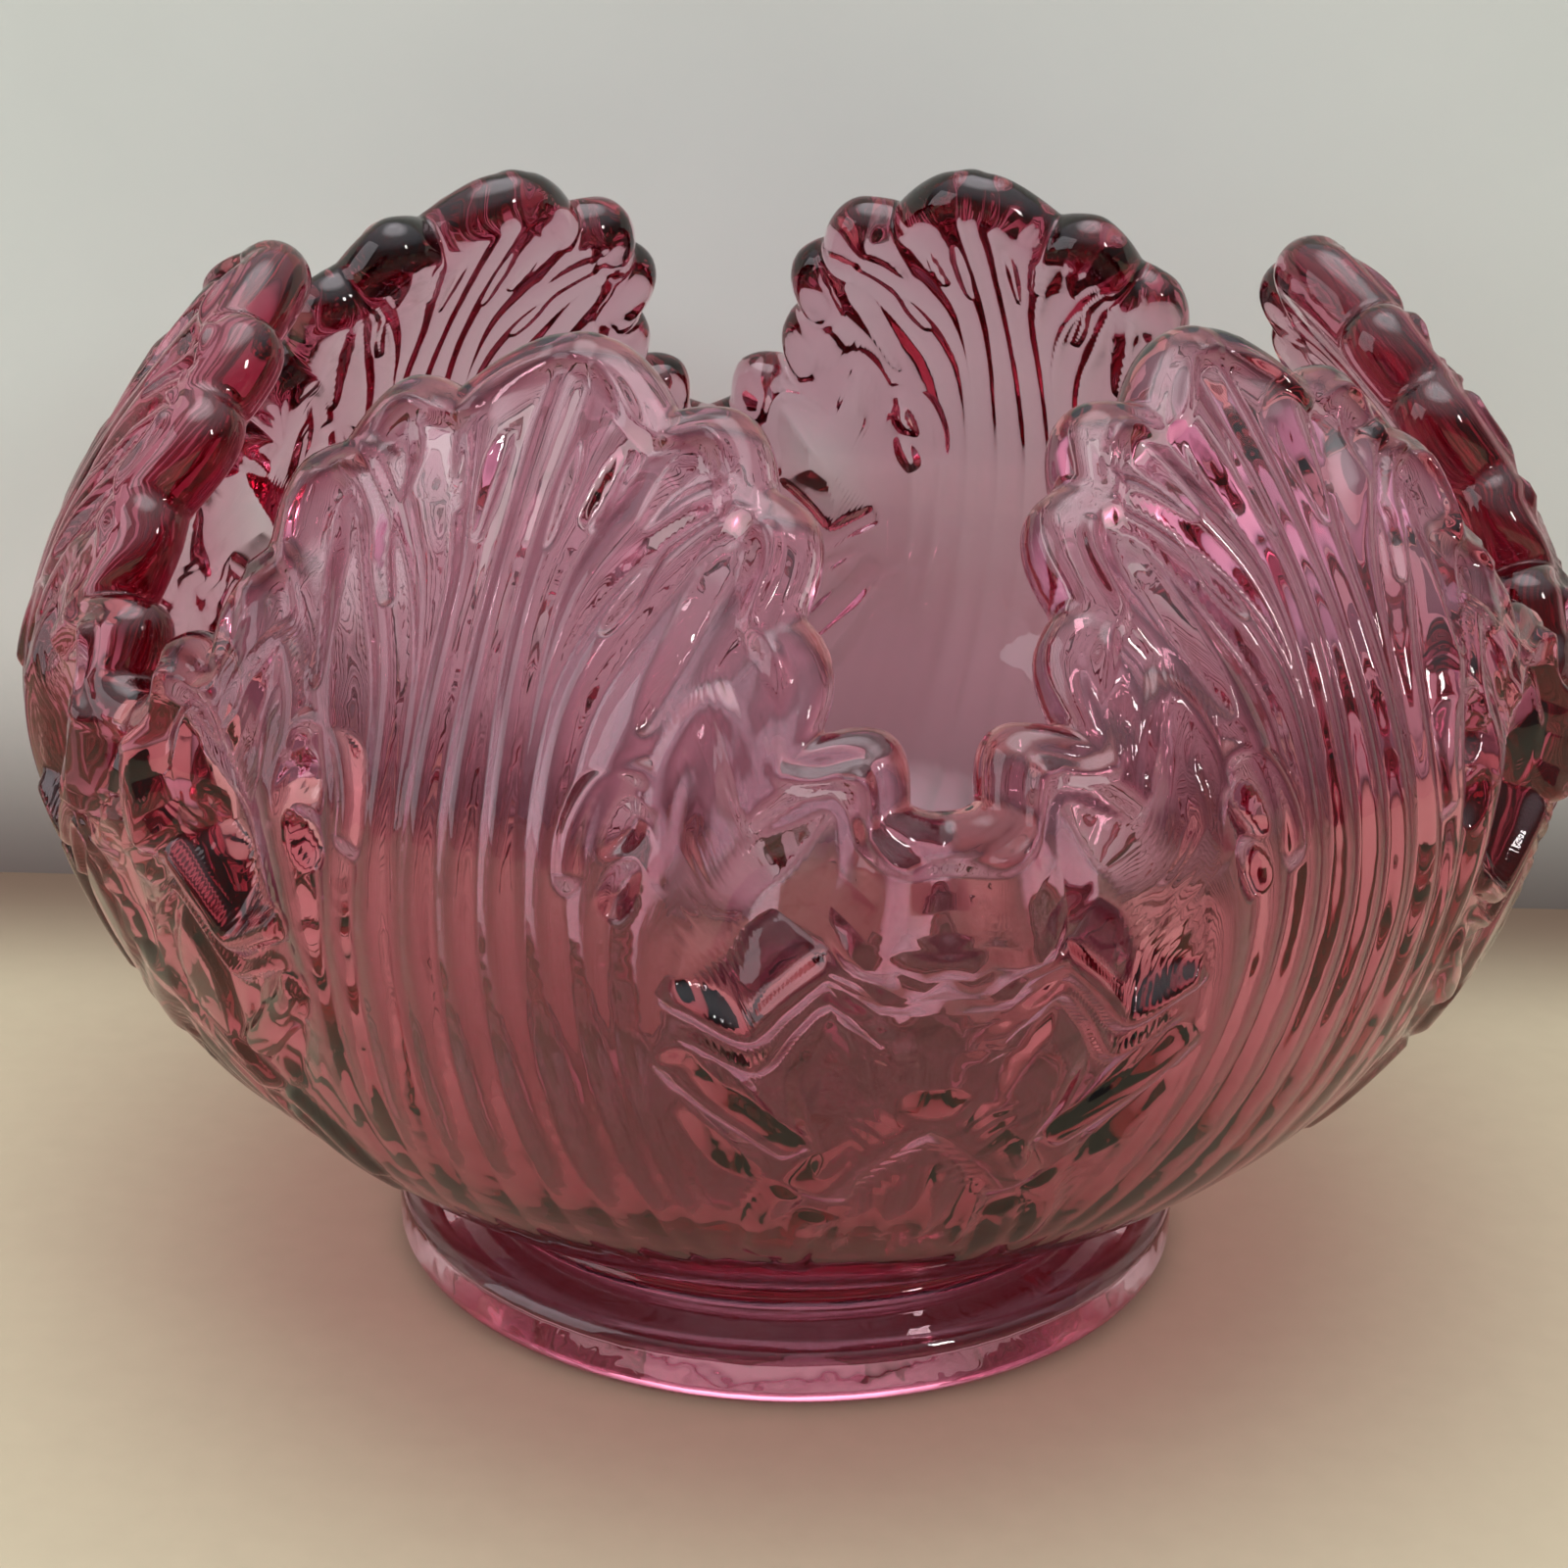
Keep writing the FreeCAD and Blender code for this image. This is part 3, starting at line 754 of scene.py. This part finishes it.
def build_light():
    """The sky, a soft light above, a small window in front at the right and a soft light at the left."""
    build_sky()
    top = area_light("soft_top", *SOFT_TOP)
    top.visible_glossy = False
    top.visible_transmission = False
    area_light("window", *WINDOW)
    side = area_light("side_soft", *SIDE_SOFT)
    side.visible_transmission = False


def build_camera():
    """The camera, aimed by yaw and pitch and then rolled about its own line of sight."""
    data = bpy.data.cameras.new("camera")
    data.sensor_width = 36.0
    data.lens = CAMERA_LENS
    data.shift_y = CAMERA_SHIFT_Y
    data.clip_start = 0.01
    camera = bpy.data.objects.new("camera", data)
    bpy.context.scene.collection.objects.link(camera)
    yaw, pitch, roll = (math.radians(v) for v in (CAMERA_YAW, CAMERA_PITCH, CAMERA_ROLL))
    ahead = Vector((math.sin(yaw) * math.cos(pitch), math.cos(yaw) * math.cos(pitch), -math.sin(pitch)))
    right = Vector((math.cos(yaw), -math.sin(yaw), 0))
    up = right.cross(ahead)
    turned_right = math.cos(roll) * right - math.sin(roll) * up
    turned_up = math.sin(roll) * right + math.cos(roll) * up
    turn = Matrix((turned_right, turned_up, -ahead)).transposed().to_4x4()
    place = Vector((0, -CAMERA_DISTANCE, CAMERA_HEIGHT)) * MM
    camera.matrix_world = Matrix.Translation(place) @ turn
    rotate_to_camera(camera)
    bpy.context.scene.camera = camera


# ---------------------------------------------------------------- the scene
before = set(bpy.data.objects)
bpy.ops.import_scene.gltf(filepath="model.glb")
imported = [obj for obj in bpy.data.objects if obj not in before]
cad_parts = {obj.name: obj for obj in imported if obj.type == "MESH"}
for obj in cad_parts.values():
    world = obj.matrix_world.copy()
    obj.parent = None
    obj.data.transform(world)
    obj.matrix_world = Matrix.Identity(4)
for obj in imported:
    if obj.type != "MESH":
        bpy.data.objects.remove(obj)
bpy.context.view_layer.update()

bowl = build_bowl()
bowl.data.materials.append(glass("pink_glass", BOWL_DENSITY, BOWL_SHADE, BELLY_SKIN_AND_SHADE, LEAF_SKIN))
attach(bowl, "root")
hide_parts("leaf_bowl")

foot = build_foot()
foot.data.materials.append(glass("pink_glass_foot", FOOT_DENSITY, FOOT_SHADE, FOOT_SKIN, FOOT_SKIN))
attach(foot, "root")
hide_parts("foot_ring")

build_room()
build_light()
build_camera()
scene = bpy.context.scene
scene.view_settings.view_transform = "Standard"
scene.cycles.max_bounces = BOUNCES
scene.cycles.transmission_bounces = BOUNCES
scene.cycles.glossy_bounces = 12
scene.cycles.transparent_max_bounces = 16
